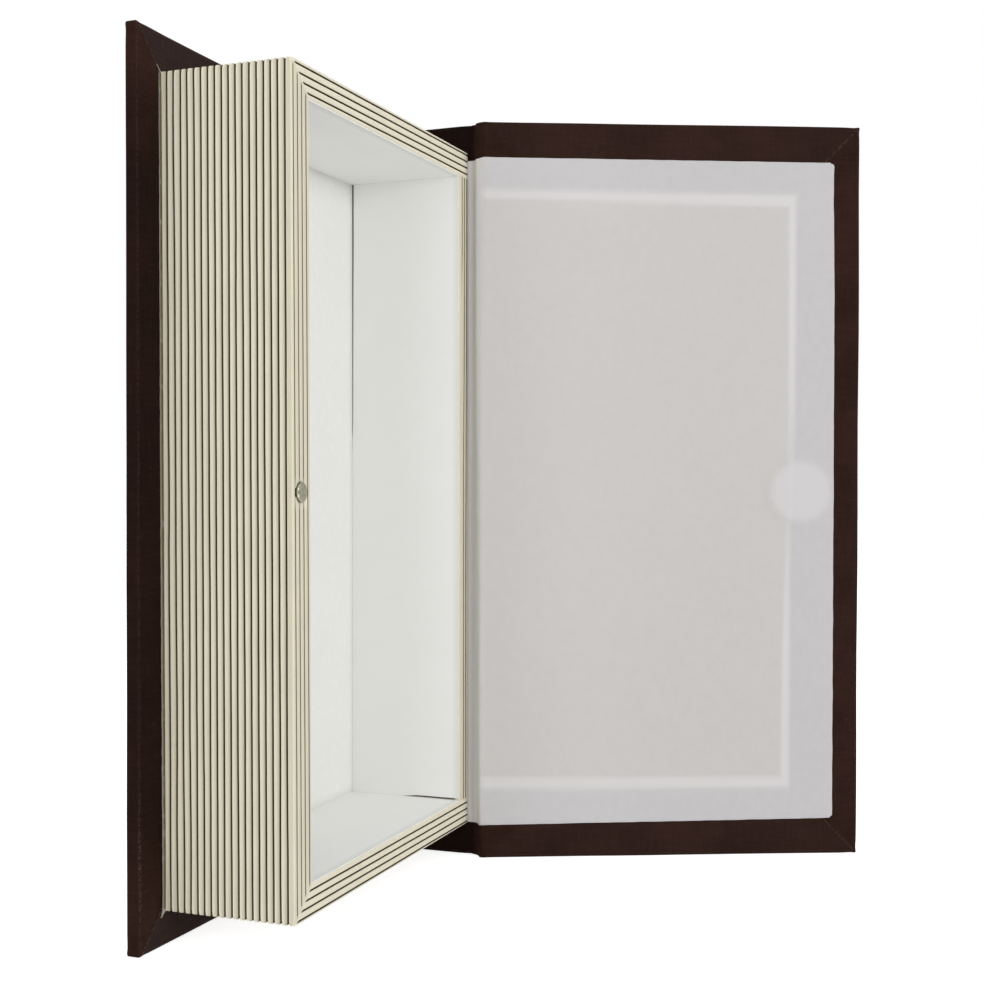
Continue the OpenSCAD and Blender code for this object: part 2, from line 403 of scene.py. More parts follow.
def page_frame():
    s = Shading("page_frame", roughness=0.72)
    s.feed(s.surface.inputs["Specular IOR Level"], s.ramp(s.mark("cut"), 0.0, 0.6, 0.15, 0.0))
    cloudy = s.noise(14, detail=4.0)
    streak = s.noise(1.6, detail=3.0, stretch=(1, 1, 0.05))
    base = s.mix(s.ramp(cloudy, 0.3, 0.72), (0.840, 0.792, 0.645), (0.800, 0.765, 0.633))
    base = s.mix(s.ramp(streak, 0.45, 0.75, 0.0, 0.3), base, (0.70, 0.645, 0.505))
    # Painted shade: the light cream stands for each strip's lit lower side, and the shade mark darkens it
    # towards the strip's upper side and on the rims.
    base = s.mix(s.mark("shade"), base, (0.335, 0.292, 0.182))
    speck = s.noise(0.30, detail=2.0)
    base = s.mix(s.ramp(speck, 0.66, 0.76, 0.0, 0.30), base, (0.40, 0.34, 0.22))
    # The grooves and the magnet's hole go a near-black brown: the bare cut board, darkened further with
    # painted shade.
    base = s.mix(s.mark("cut"), base, (0.040, 0.026, 0.003))
    base = s.mix(s.mark("raw"), base, (0.13, 0.12, 0.075))
    normal = s.bump(s.noise(0.7, detail=3.0), 0.05, 0.5)
    normal = s.bump(s.noise(6.0, detail=3.0), 0.12, 0.4, normal)
    return s.finish(base, normal, s.ramp(cloudy, 0.3, 0.7, 0.62, 0.78))


def lining_paper():
    s = Shading("lining_paper", roughness=0.75, specular=0.2)
    cloudy = s.noise(30, detail=4.0)
    base = s.mix(s.ramp(cloudy, 0.35, 0.7), (0.925, 0.927, 0.910), (0.913, 0.915, 0.898))
    fibre = s.noise(0.8, detail=4.0, roughness=0.7)
    base = s.mix(s.ramp(fibre, 0.55, 0.8, 0.0, 0.25), base, (0.86, 0.86, 0.84))
    # Painted shade in part: this mark darkens the linings in corners, under the rim and over the floor, and
    # darkens the floor sheet's edge outside the frame.
    soil = s.math("MULTIPLY", s.mark("soil"), s.ramp(s.noise(3.0), 0.2, 0.5, 0.8, 1.0))
    base = s.mix(soil, base, (0.13, 0.115, 0.060))
    normal = s.bump(fibre, 0.03, 0.5)
    normal = s.bump(s.noise(18.0, detail=2.0), 0.25, 0.4, normal)
    return s.finish(base, normal)


def lid_paper():
    s = Shading("lid_paper", roughness=0.7, specular=0.2)
    fibre = s.noise(0.9, detail=5.0, roughness=0.7)
    mottle = s.noise(3.2, detail=4.0, roughness=0.65)
    outside = s.mix(s.ramp(mottle, 0.35, 0.7), (0.500, 0.490, 0.496), (0.484, 0.474, 0.480))
    inside = s.mix(s.ramp(mottle, 0.3, 0.75), (0.522, 0.504, 0.490), (0.506, 0.488, 0.475))
    base = s.mix(s.mark("inside"), outside, inside)
    base = s.mix(s.math("MULTIPLY", s.mark("band"), 0.9), base, (0.605, 0.588, 0.580))
    base = s.mix(s.math("MULTIPLY", s.mark("disc"), 0.7), base, (0.585, 0.572, 0.577))
    base = s.mix(s.ramp(fibre, 0.5, 0.85, 0.0, 0.25), base, (0.50, 0.487, 0.475))
    # Painted light: this mark lightens the paper across the joint, near the hinge and a little towards the
    # bottom, against the shade there.
    base = s.mix(s.mark("painted_light"), base, (0.750, 0.740, 0.738))
    # Painted shade where the paper dips into the joint's valley and at the frame's corner.
    base = s.mix(s.mark("soil"), base, (0.30, 0.283, 0.270))
    normal = s.bump(fibre, 0.03, 0.5)
    telegraphed = s.math("MULTIPLY", weave_height(s, 0.6), s.math("SUBTRACT", 1.0, s.mark("inside")))
    normal = s.bump(telegraphed, 0.02, 0.6, normal)
    normal = s.bump(s.noise(14.0, detail=3.0), 0.12, 0.5, normal)
    return s.finish(base, normal)


def nickel():
    s = Shading("nickel", roughness=0.36, specular=0.5)
    s.surface.inputs["Metallic"].default_value = 0.85
    tarnish = s.noise(1.6, detail=4.0)
    base = s.mix(s.ramp(tarnish, 0.35, 0.65), (0.40, 0.39, 0.29), (0.31, 0.30, 0.22))
    # Painted highlights: the bright mark gives two glints on the magnet's rounded rim.
    base = s.mix(s.mark("bright"), base, (0.85, 0.84, 0.74))
    # Painted shade: the dark mark darkens the magnet's side in its hole and where it stands proud, and marks
    # a chip on its rim.
    base = s.mix(s.mark("dark"), base, (0.045, 0.040, 0.022))
    scratch = s.noise(0.25, detail=2.0, stretch=(1, 0.15, 1))
    return s.finish(base, s.bump(scratch, 0.02, 0.6), s.ramp(tarnish, 0.3, 0.7, 0.30, 0.5))


def hidden_board(name, colour, grain):
    """Grey board, card or steel that only shows if the part is taken apart."""
    s = Shading(name, roughness=0.85, specular=0.2)
    fleck = s.noise(grain, detail=4.0, roughness=0.7)
    base = s.mix(s.ramp(fleck, 0.35, 0.65), colour, tuple(c * 0.8 for c in colour))
    return s.finish(base, s.bump(fleck, 0.05, 0.5))


CLOTH = book_cloth()
CREAM = page_frame()
WHITE = lining_paper()
GREY = lid_paper()
NICKEL = nickel()
BOARD = hidden_board("grey_board", (0.40, 0.36, 0.30), 1.4)


# Covers: boards wrapped in cloth, as rings from the middle of one face to the middle of the other

MITRE_STEPS = [-7.0, -4.5, -2.8, -1.6, -0.9, -0.45, -0.2, 0.0, 0.2, 0.45, 0.9, 1.6, 2.8, 4.5, 7.0]
SIDE_STEPS = 15
DRESSED_CORNER_R = 0.6
OUTER_CORNER_R = 0.9
FORE_NUB = 0.42
FORE_SLACK = 0.35
HINGE_NUB = 0.1
SUNK_CLOTH = 0.6
FACE_INSETS = (32.0, 22.0, 16.0, 12.5, 10.0, 7.5, 5.0, 3.0, 1.8, 1.2)
FACE_WAVE = 0.05
FORE_WAVE = 0.12
END_WAVE = 0.10
MITRE_SINK = 0.20
MITRE_LAP = 0.10
MITRE_WEAR = 0.36
ARRIS_MARK_Z = 26


def ring_corner(corner, out, into, radius, s):
    """A point at a distance s along the outline from a corner's middle: back towards into, on along out."""
    quarter = math.pi * radius / 4
    if abs(s) <= quarter:
        turn = s / radius if radius else 0.0
        back = (out + into) / math.sqrt(2)
        side = (into - out) / math.sqrt(2)
        return corner + radius * (out + into - math.cos(turn) * back - math.sin(turn) * side)
    arm = out if s > 0 else into
    return corner + arm * (radius + abs(s) - quarter)


def outline_ring(width, height, inset, depth):
    """Points round a cover drawn in by inset, each with its distance from a corner, and that corner."""
    outer = smooth(1.5 * depth / COVER_T - 0.5)
    radius = max(DRESSED_CORNER_R + (OUTER_CORNER_R - DRESSED_CORNER_R) * outer - inset, 0.0)
    corners = [Vector(c) for c in ((inset, inset), (width - inset, inset),
                                   (width - inset, height - inset), (inset, height - inset))]
    along = [Vector(d) for d in ((1, 0), (0, 1), (-1, 0), (0, -1))]
    ring = []
    for i, corner in enumerate(corners):
        out, into = along[i], -along[i - 1]
        at_fore = i in (1, 2)
        nub = (FORE_NUB if at_fore else HINGE_NUB) * (1 - smooth(inset / 3)) * (1 + 0.3 * outer)
        slack = FORE_SLACK * (1 - smooth(inset / 6)) * at_fore
        for s in MITRE_STEPS:
            drawn_in = (out + into) / math.sqrt(2) * (slack * bell(s, 3.6) - nub * bell(s, 1.2))
            ring.append((ring_corner(corner, out, into, radius, s) + drawn_in, s, i))
        start = ring_corner(corner, out, into, radius, MITRE_STEPS[-1])
        end = ring_corner(corners[(i + 1) % 4], along[(i + 1) % 4], -out, radius, MITRE_STEPS[0])
        for k in range(1, SIDE_STEPS):
            ring.append((start.lerp(end, k / SIDE_STEPS), None, i))
    return ring


def cover_rings(width):
    """Pairs of inset and depth through a cover, from its inner face round its edge to its outer face."""
    room = width / 2 - MITRE_STEPS[-1] - 1
    insets = [inset for inset in FACE_INSETS if inset < room]
    turn = [(EDGE_R * (1 - math.sin(t)), EDGE_R * (1 - math.cos(t))) for t in spread(0, math.pi / 2, 7)]
    inner = [(inset, SUNK_CLOTH * smooth((inset - 12.5) / 3)) for inset in insets]
    outer = [(inset, COVER_T) for inset in reversed(insets)]
    return inner + turn + [(inset, COVER_T - depth) for inset, depth in reversed(turn)] + outer


def zero(*at):
    return 0.0


def under_paper(u, z):
    """How far the cloth near the hinge lies behind the paper pasted over it."""
    return SUNK_CLOTH * smooth((u - 2) / 2) * smooth((z - 13) / 2) * smooth((COVER_H - 14 - z) / 2)


def shaded_middle(z):
    """Painted shade: the back cover's cloth is darker beside the frame, where the frame shades it, than at
    its two ends.
    """
    return smooth((z - 14) / 24) * smooth((COVER_H - 14 - z) / 24)


def mitre_height(s):
    """Two turn-ins meet in a fine groove, and one of them lies a little over the other."""
    lap = MITRE_LAP * (1 - smooth((abs(s) - 0.2) / 5)) if s > 0 else 0.0
    return lap - MITRE_SINK * bell(s, 0.35)


def arris_highlight_and_wear(inset, depth, z):
    """The inner edge of a cover is paler, most of all near the tail: partly rubbed cloth, partly a painted
    highlight where the weave catches the light.
    """
    if inset > EDGE_R:
        return 0.0
    return (0.12 + 0.4 * bell(z - ARRIS_MARK_Z, 14)) * bell(depth - EDGE_R * 0.3, 0.22)


def wrapped_cover(name, width, place, body, node, mitred_corners=(), bend=zero, shaded=zero, sheen=0.0):
    """A cover in its cloth, mitred at some corners. shaded gives its painted shade up its height, and sheen a
    painted sheen on the turn-ins at its two ends.
    """
    points, wear_and_highlight, shade, glow = [], [], [], []
    rings = cover_rings(width)
    seed = seed_of(name)
    for inset, depth in rings:
        edge_share = 1 - smooth(inset / 12)
        on_inner = depth < COVER_T / 2 and inset >= EDGE_R
        for (u, z), s, corner in outline_ring(width, COVER_H, inset, depth):
            v = depth + FACE_WAVE * ripple(seed + 5, u / 30, z / 30) + bend(u, depth, z)
            if on_inner and u < 14:
                v = max(v, under_paper(u, z))
            mitred = s is not None and on_inner and corner in mitred_corners
            v += mitre_height(s) if mitred else 0.0
            u_out = FORE_WAVE * ripple(seed, z / 45) * edge_share
            z_out = END_WAVE * ripple(seed + 3, u / 40) * edge_share
            points.append((u + u_out, v, z + z_out))
            mitre_wear = MITRE_WEAR * bell(s, 0.4) if mitred else 0.0
            wear_and_highlight.append(mitre_wear + arris_highlight_and_wear(inset, depth, z))
            shade.append(shaded(z))
            # Painted sheen on the turn-ins at the head and the tail.
            side = corner if s is None or s > 0 else corner - 1
            glow.append(sheen if side in (0, 2) and on_inner else 0.0)
    columns = len(points) // len(rings)
    marks = {"wear_and_highlight": wear_and_highlight, "shade": shade, "sheen": glow}
    made = piece(name, points, tube_faces(points, columns), place, body, CLOTH, marks)
    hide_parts(node)


def back_bend(u, depth, z):
    """The back cover's fore-edge leans in, and its board is thinner at the head than at the tail."""
    up = 2 * z / COVER_H - 1
    share = smooth((u - 126) / 12)
    thicker = 0.02 - 0.32 * up if depth > COVER_T / 2 else 0.0
    return share * (thicker - 0.3 - 0.075 * up)


def back_board(inner, outer, inset):
    """The back cover's board, which bends with the cloth round it."""
    front, back = [], []
    for z in spread(inset, COVER_H - inset, 40):
        us = spread(inset, COVER_W - inset, 60)
        front.append([(u, inner + back_bend(u, 0, z), z) for u in us])
        back.append([(u, outer + back_bend(u, COVER_T, z), z) for u in us])
    made = sheet("back_board_bent", front, back, on_back, "book", "grey_board", BOARD)
    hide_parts("back_board")


back_board(SUNK_CLOTH + 0.15, COVER_T - CLOTH_T - 0.15, CLOTH_T + 0.8)
wrapped_cover("back_cover_cloth", COVER_W, on_back, "book", "back_cloth", (1, 2), back_bend,
              shaded_middle, sheen=0.4)
# The spine's cloth carries painted shade all along, where the frame shades it.
wrapped_cover("spine_cover_cloth", SPINE_W, on_spine, "book", "spine_cloth", shaded=lambda z: 1.4)
wrapped_cover("lid_cover_cloth", COVER_W, on_lid, "lid", "lid_cloth", (1, 2), sheen=0.12)


# The joint between spine and lid: one line in plan that its cloth and paper follow

strip_way = LID_CREASE - SPINE_CREASE
STRIP = strip_way.length
strip_way.normalize()
strip_out = square_to(strip_way)
BAND_ROWS = 60
HIDDEN_LAP = 1.3
JOINT_INSET = 0.15


def joint_raw(d, share):
    """The cloth's inner face in plan at a distance d past the spine crease, at a share of the height."""
    if d < 0:
        return SPINE_CREASE + Vector((d, 0.0))
    if d > STRIP:
        return LID_CREASE + lid_way * (d - STRIP) - lid_out * 0.2 * (1 - smooth((d - STRIP) / 3))
    t = d / STRIP
    at_head = 1.05 * math.sin(math.pi * t ** 0.8) + 0.2 * t
    at_tail = bell(t - 0.82, 0.28) + 0.2 * t * t
    bulge = at_tail + (at_head - at_tail) * smooth(share)
    return SPINE_CREASE + strip_way * d - strip_out * bulge


def joint_line(d, share):
    total = Vector((0.0, 0.0))
    for step in (-0.9, -0.45, 0.0, 0.45, 0.9):
        total += joint_raw(d + step, share)
    return total / 5


def joint_at(d, share):
    """A point on the joint's line, and the way out through its cloth there."""
    at = joint_line(d, share)
    return at, square_to((joint_line(d + 0.3, share) - at).normalized())


def band(name, line, low, high, thickness, body, slot, material, marks=None):
    """A thin standing sheet. line gives its inner face in plan at a share of the height."""
    front, back = [], []
    for share in spread(0, 1, BAND_ROWS):
        path = line(share)
        inner, outer = [], []
        for i, p in enumerate(path):
            across = square_to((path[min(i + 1, len(path) - 1)] - path[max(i - 1, 0)]).normalized())
            z = low + (high - low) * share
            sway = 0.04 * ripple(seed_of(name), z / 22, i * 0.4) * math.sin(math.pi * i / (len(path) - 1))
            for row, offset in ((inner, 0.0), (outer, thickness)):
                q = p + across * (offset + sway)
                row.append((q.x, q.y, z))
        front.append(inner)
        back.append(outer)
    values = {mark: [[rule(*p) for p in row] for row in front] for mark, rule in (marks or {}).items()}
    return sheet(name, front, back, in_book, body, slot, material, values)


def bends(made):
    """Bakes a band's placement into its mesh."""
    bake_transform(made)


def joint_cloth(name, start, end, lap):
    """One half of the joint's cloth, whose lap runs on into the cover beside it."""
    def line(share):
        path = [joint_line(d, share) for d in spread(start, end, 12)]
        return lap(path)
    made = band(name, line, JOINT_INSET, COVER_H - JOINT_INSET, CLOTH_T, None, "book_cloth", CLOTH)
    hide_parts("front_hinge_cloth")
    return made


def lap_into_spine(path):
    return [path[0] + Vector((-HIDDEN_LAP, 0.4)), path[0] + Vector((-0.5, 0.25))] + path


def lap_into_lid(path):
    end = path[-1]
    return path + [end + lid_way * 0.5 + lid_out * 0.12, end + lid_way * HIDDEN_LAP + lid_out * 0.3]


spine_half = joint_cloth("hinge_cloth_spine_half", -0.2, STRIP / 2, lap_into_spine)
bends(spine_half)
lid_half = joint_cloth("hinge_cloth_lid_half", STRIP / 2, STRIP + CREASE_GAP + 0.4, lap_into_lid)
bends(lid_half)

BACK_JOINT = [Vector(p) for p in ((1.4, 0.2), (0.3, 0.1), (0.1, -0.1), (0.0, -0.5))]


def back_joint_line(share):
    start = Vector((-BACK_OVER, FRAME_W))
    end = Vector((-0.45, BACK_HINGE_Y))
    path = [start + p for p in BACK_JOINT]
    path += [path[-1].lerp(end, t) for t in spread(0.2, 0.8, 5)]
    return path + [end + Vector((0, 0.1)), end + Vector((0, -0.5)), end + Vector((0, -1.4))]


back_joint = band("back_joint_cloth", back_joint_line, JOINT_INSET, COVER_H - JOINT_INSET, CLOTH_T, "book",
                  "book_cloth", CLOTH)
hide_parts("back_hinge_cloth")


# Paper on the lid and across its joint

PAPER_W = COVER_W - LINING_FORE
PAPER_CORNER = 1.1
PAPER_RAGGED = 0.10
TROUGH_DEPTH = 0.15
SLANT_RUN = 110
WIDER_BELOW = 165
JOINT_PAPER_LOW = 12.0
JOINT_PAPER_HIGH = COVER_H - 13.3
KEEPER_U = BACK_HINGE_Y - (magnet_low.y + magnet_high.y) / 2 + BOOK.y - KEEPER_OFFSET + KEEPER_OFF_U


def paper_low(u):
    return 12.15 + 1.15 * u / 130


def paper_high(u):
    return COVER_H - 13.05 - 0.37 * (u - 18) / SLANT_RUN


def paper_fore(z):
    """The paper's fore-edge, cut a little short towards the head."""
    return PAPER_W - 0.4 * smooth((z - 205) / 40)


def paper_relief(u, z):
    """How deep the paper lies over the trough between cloth and card, and its marks."""
    t = u / SLANT_RUN
    from_head = COVER_H - z
    from_fore = COVER_W - u
    inside_gap = min(z - END_TURN_IN - 0.4 * (1 - t), from_head - END_TURN_IN + 0.5 - 0.9 * t,
                     from_fore - FORE_TURN_IN - 0.2 - 1.8 * smooth((WIDER_BELOW - z) / 60))
    inside_card = min(z - END_INFILL - 1.1 * (1 - t), from_head - END_INFILL + 1.0 - 1.8 * t,
                      from_fore - FORE_INFILL + 0.3 - 2.2 * smooth((WIDER_BELOW - z) / 120))
    past_cloth = smooth((inside_gap + 0.9) / 1.8)
    on_card = smooth((inside_card + 0.9) / 1.8)
    reach = math.hypot(u - KEEPER_U, z - COVER_H / 2)
    over_disc = 1 - smooth((reach - KEEPER_D / 2 - 0.8) / 1.8)
    disc = 1 - smooth((reach - KEEPER_D / 2 + 1.6) / 3.0)
    trough = TROUGH_DEPTH * past_cloth * (1 - on_card) * (1 - over_disc)
    depth = trough - (KEEPER_PROUD + 0.04) * over_disc + 0.05 * ripple(41, u / 26, z / 26)
    faint = 1 - 0.65 * bell(z - COVER_H / 2, 28)
    return depth, past_cloth * (1 - on_card) * faint, on_card, disc


def corner_cut(u, z):
    """How far the two fore-edge corners of the paper are drawn in, as shares of the cut."""
    from_fore = 1 - smooth((paper_fore(z) - u) / PAPER_CORNER)
    from_end = 1 - smooth(min(z - paper_low(u), paper_high(u) - z) / PAPER_CORNER)
    return from_fore * from_end


def runs(*stops):
    """Values from stop to stop, where each stop but the last says how many lead on to the next."""
    values = []
    for (start, count), following in zip(stops, stops[1:]):
        values += spread(start, following[0], count + 1)[:-1]
    return values + [stops[-1][0]]


def paper_columns():
    card_end = COVER_W - FORE_INFILL - 4
    joint_end = -(STRIP / 2 + CREASE_GAP)
    return runs((joint_end, 13), (0, 5), (3, 63), (card_end, 33), (PAPER_W - 2, 6), (PAPER_W,))


def paper_rows():
    """Shares of the paper's height, close together where the paper sinks between cloth and card."""
    return runs((0, 4), (0.008, 11), (0.07, 23), (0.125, 109), (0.875, 23), (0.93, 11), (0.992, 4), (1,))


def paper_point(u, share):
    """The front and the back of the paper at one place, and its marks there."""
    at_end = share in (0, 1)
    at_fore = u == PAPER_W
    ease = smooth((u + 2.5) / 2.5)
    low = JOINT_PAPER_LOW + (paper_low(u) - JOINT_PAPER_LOW) * ease
    high = JOINT_PAPER_HIGH + (paper_high(u) - JOINT_PAPER_HIGH) * ease
    z = low + (high - low) * share
    cut = corner_cut(u, z) * 0.45 * PAPER_CORNER
    z += cut if share < 0.5 else -cut
    z += PAPER_RAGGED * ripple(51, u / 6) * at_end
    depth, on_band, on_card, on_disc = paper_relief(max(u, 0), z)
    reach = STRIP + CREASE_GAP + u - (cut if u > 9 else 0)
    reach -= (PAPER_W - paper_fore(z)) * smooth((u - PAPER_W + 12) / 12)
    reach += PAPER_RAGGED * ripple(52, z / 7) * at_fore
    at, out = joint_at(reach, z / COVER_H)
    sunk = depth * smooth(u / 4)
    worn = 0.1 * (at_fore or at_end)
    sides = []
    for offset in (sunk - PAPER_T + worn, sunk - 0.02):
        q = at + out * offset
        sides.append((q.x, q.y, z))
    # Painted light: full across the joint, fading over the lid, and a little more towards the hinge and the
    # bottom.
    painted_light = max(1 - smooth((u + 3) / 4), 0.08 * smooth((95 - u) / 75) + 0.05 * smooth((50 - z) / 40))
    return sides, (on_band, on_card, on_disc, painted_light)


def lid_paper_sheet():
    grid = [[paper_point(u, share) for u in paper_columns()] for share in paper_rows()]
    front, back = ([[sides[i] for sides, values in row] for row in grid] for i in range(2))
    marks = {mark: [[values[i] for sides, values in row] for row in grid]
             for i, mark in enumerate(("band", "inside", "disc", "painted_light"))}
    made = sheet("lid_paper", front, back, in_book, None, "lid_paper", GREY, marks)
    bends(made)
    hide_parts("lid_lining", "front_hinge_lining")


lid_paper_sheet()

VALLEY = 2.4


def spine_paper_line(share):
    """From behind the frame's corner along the spine, down in a valley, and up on the joint's cloth."""
    corner = Vector((RIM, FRAME_W))
    path = [corner + Vector(p) for p in ((-0.4, 0.2), (-0.1, -0.1), (0.2, -PAPER_T), (0.9, -0.36),
                                         (1.6, -0.34), (VALLEY - 0.2, -0.26), (VALLEY + 0.2, -0.32))]
    for d in spread(0.1, STRIP / 2 + 0.02, 9):
        at, out = joint_at(d, share)
        path.append(at - out * PAPER_T)
    return path


# Painted shade on the joint's paper, in its valley and at the frame's corner.
def joint_painted_shade(x, y, z):
    past = x - RIM
    return 0.36 * bell(past - VALLEY, 1.2) + 0.25 * bell(past, 0.7)


spine_paper = band("joint_paper", spine_paper_line, JOINT_PAPER_LOW + 0.2, JOINT_PAPER_HIGH,
                   PAPER_T - 0.02, None, "lid_paper", GREY,
                   {"soil": joint_painted_shade, "painted_light": lambda x, y, z: 1.0})
bends(spine_paper)
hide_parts("spine_edge_lining", "front_hinge_lining")


# The frame's walls, each a grooved section drawn along its length

FACE_PITCH = RIM / FACE_GROOVES
FACE_GROOVE_W = 0.50
RIM_GROOVE_W = 0.52
SPINE_GROOVE_W = 0.85
ARRIS_R = 0.35
# Painted shade on the rims: a little on every rim, more on the fore-edge wall's rim and the spine wall's rim.
RIM_SHADE = 0.19
FORE_RIM_SHADE = 0.33
SPINE_RIM_SHADE = 0.36
CORNER_DROP = 0.6
CORNER_REACH = 1.9
CORNER_SOFT = 0.45
END_STEPS = [0.0, 0.06, 0.14, 0.24, 0.36, 0.5, 0.65, 0.8, 1.0, 1.25, 1.6, 2.0, 2.8, 4.5, 7.5]
MIDDLE_STEPS = 44
HALVINGS = 12


def groove(place, share, width, depth, lips):
    """A groove's outline as triples of place, depth and colour, with soft lips. share 0 is flat."""
    half = width / 2
    before, after = lips
    shape = [(-half - before, 0.0, 0.0), (-half - before * 0.6, 0.05, 0.1),
             (-half - before * 0.25, 0.16, 0.4), (-half, 0.36, 0.9), (-half * 0.75, 0.9, 1.0),
             (0.0, 1.0, 1.0), (half * 0.75, 0.9, 1.0), (half, 0.3, 0.9),
             (half + after * 0.3, 0.1, 0.3), (half + after * 0.6, 0.03, 0.0), (half + after, 0.0, 0.0)]
    narrow = 0.55 + 0.45 * share
    return [(place + offset * narrow, depth * share * d, share * cut) for offset, d, cut in shape]


def strip_crown(start, end, height, lighter, darker):
    """A strip between two grooves, proud on its lower side, with painted shade that darkens it towards its
    upper side.
    """
    crown = []
    for t in (0.12, 0.3, 0.5, 0.7, 0.88):
        shade = lighter + (darker - lighter) * t ** 1.3
        crown.append((-height * math.sin(math.pi * t ** 0.6), start + (end - start) * t, 0.0, 0.0, shade))
    return crown


def face_outline(places, a, gap, seed):
    """The wall's outer side, as depth inwards, height, groove colour, bare board and painted shade."""
    outline = [(0.6, FLOOR_T, 1.0, 0.0, 0.0), (0.4, FLOOR_T + 0.05, 0.9, 0.0, 0.0),
               (0.15, FLOOR_T + 0.12, 0.4, 0.0, 0.0), (0.0, FLOOR_T + 0.2, 0.0, 0.0, 0.0)]
    lips = (0.40 + 0.1 * bell(gap, 0.6), 0.16 + 0.6 * bell(gap, 0.7))
    for i, place in enumerate(places):
        wave = 0.07 + 0.16 * math.exp(-i / 2.0)
        at = place + wave * ripple(seed + i, a / 38) + 0.03 * ripple(seed + i + 40, a / 7)
        line = groove(at, 1.0, FACE_GROOVE_W, FACE_DEPTH, lips)
        early = math.exp(-i / 3.0)
        # How much painted shade darkens a strip's upper side.
        darker = 0.56 - 0.04 * early
        outline += strip_crown(outline[-1][1], line[0][0], 0.09 + 0.05 * early, 0.0, darker)
        outline += [(d, p, cut, 0.0, darker if p < at else 0.0) for p, d, cut in line]
    if places:
        outline += strip_crown(outline[-1][1], RIM - ARRIS_R, 0.03, 0.3, 0.42)
    for t in spread(0, math.pi / 2, 5):
        outline.append((ARRIS_R * (1 - math.cos(t)), RIM - ARRIS_R * (1 - math.sin(t)), 0.0, 0.0, 0.0))
    return outline


def rim_outline(grooves, share, width):
    outline = []
    for at, strength in grooves:
        for p, d, cut in groove(at, share * strength, width, RIM_DEPTH, (0.14, 0.14)):
            outline.append((p, RIM - d, cut, 0.0, 0.0))
    return outline


def inner_outline(wall_t):
    outline = []
    for t in spread(0, math.pi / 2, 4):
        across = wall_t - ARRIS_R * (1 - math.sin(t))
        outline.append((across, RIM - ARRIS_R * (1 - math.cos(t)), 0.0, 0.0, 0.0))
    return outline + [(wall_t, RIM - 1.2, 0.0, 0.2, 0.0), (wall_t, RIM - 2.5, 0.0, 1.0, 0.0),
                      (wall_t, FLOOR_T, 0.0, 1.0, 0.0)]


def rounded(b, gap, ratio):
    """How far in a point lies once the frame's upright corner is rounded over."""
    low, high = b, max(b, CORNER_SOFT)
    for _ in range(HALVINGS):
        middle = (low + high) / 2
        reach = max(CORNER_SOFT - middle * ratio - gap, 0.0)
        if middle < CORNER_SOFT - math.sqrt(max(CORNER_SOFT ** 2 - reach ** 2, 0.0)):
            low = middle
        else:
            high = middle
    return high if high > b + 1e-4 else b


def worn_corner(along, b, length, mitres):
    """How far the rim is rubbed down near the frame's two fore-edge corners."""
    gaps = [math.hypot(along, b)] * bool(mitres[0]) + [math.hypot(length - along, b)] * bool(mitres[1])
    return CORNER_DROP * smooth(1 - min(gaps, default=99.0) / CORNER_REACH)


def stations():
    """Pairs of which end a station is measured from and how far: 0 low end, 1 between, 2 high end."""
    near = [(0, t) for t in END_STEPS]
    middle = [(1, k / MIDDLE_STEPS) for k in range(1, MIDDLE_STEPS)]
    return near + middle + [(2, t) for t in reversed(END_STEPS)]


def wall(name, node, length, wall_t, place, mitres, face_places, rim_places, seed,
         rim_width=RIM_GROOVE_W, rim_shade=RIM_SHADE):
    """mitres gives for the low and the high end the thickness of the wall met, or 0 for a square end."""
    rows = []
    near = END_STEPS[-1]
    for kind, t in stations():
        a = (t, near + (length - 2 * near) * t, length - t)[kind]
        met = (mitres[0], 0, mitres[1])[kind]
        gap, ratio = (t, met / wall_t) if met else (99.0, 0.0)
        outline = face_outline(face_places, a, gap, seed)
        outline += rim_outline(rim_places(a), smooth((gap - 0.45) / 0.6), rim_width)
        row = []
        for b, c, cut, raw, shade in outline + inner_outline(wall_t):
            b = rounded(b, gap, ratio) if ratio else b
            low = mitres[0] / wall_t * b
            high = length - mitres[1] / wall_t * b
            along = (low + t, low + near + (high - low - 2 * near) * t, high - t)[kind]
            if c > RIM - 2 and b < wall_t / 2:
                shade = max(shade, rim_shade * smooth((c - RIM + 0.6) / 0.6))
                c -= worn_corner(along, b, length, mitres) * smooth((c - RIM + 2) / 2)
            elif c > RIM - 0.6:
                shade = max(shade, rim_shade)
            row.append(((along, b, c), cut, raw, shade))
        rows.append(row)
    points, cuts, raws, shades = zip(*(entry for row in rows for entry in row))
    faces = tube_faces(points, len(rows[0]))
    marks = {"cut": cuts, "raw": raws, "shade": shades}
    made = piece(name, points, faces, place, "book", CREAM, marks, angle=50)
    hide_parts(node)
    return made


FRAME_SPAN = FRAME_HIGH - FRAME_LOW
FACE_PLACES = [i * FACE_PITCH for i in range(1, FACE_GROOVES)]
FORE_RIM_PITCH = 2.5
HEAD_RIM_PITCH = 2.34
TAIL_RIM_PITCH = 2.33


def rim_grooves(start, pitch, seed, a):
    """Pairs of place and strength, where each groove sways a little along the wall."""
    return [(start + pitch * i + 0.04 * ripple(seed + i, a / 30), 1.0) for i in range(RIM_GROOVES)]


def fore_rim_grooves(a):
    """The fore-edge wall's grooves drift inwards towards the tail."""
    return rim_grooves(0.95 + 0.75 * (1 - a / FRAME_SPAN), FORE_RIM_PITCH, 81, a)


def head_rim_grooves(a):
    return rim_grooves(1.2 - 0.3 * a / FRAME_W, HEAD_RIM_PITCH, 85, a)


def tail_rim_grooves(a):
    return rim_grooves(0.87 - 0.17 * a / FRAME_W, TAIL_RIM_PITCH, 89, a)


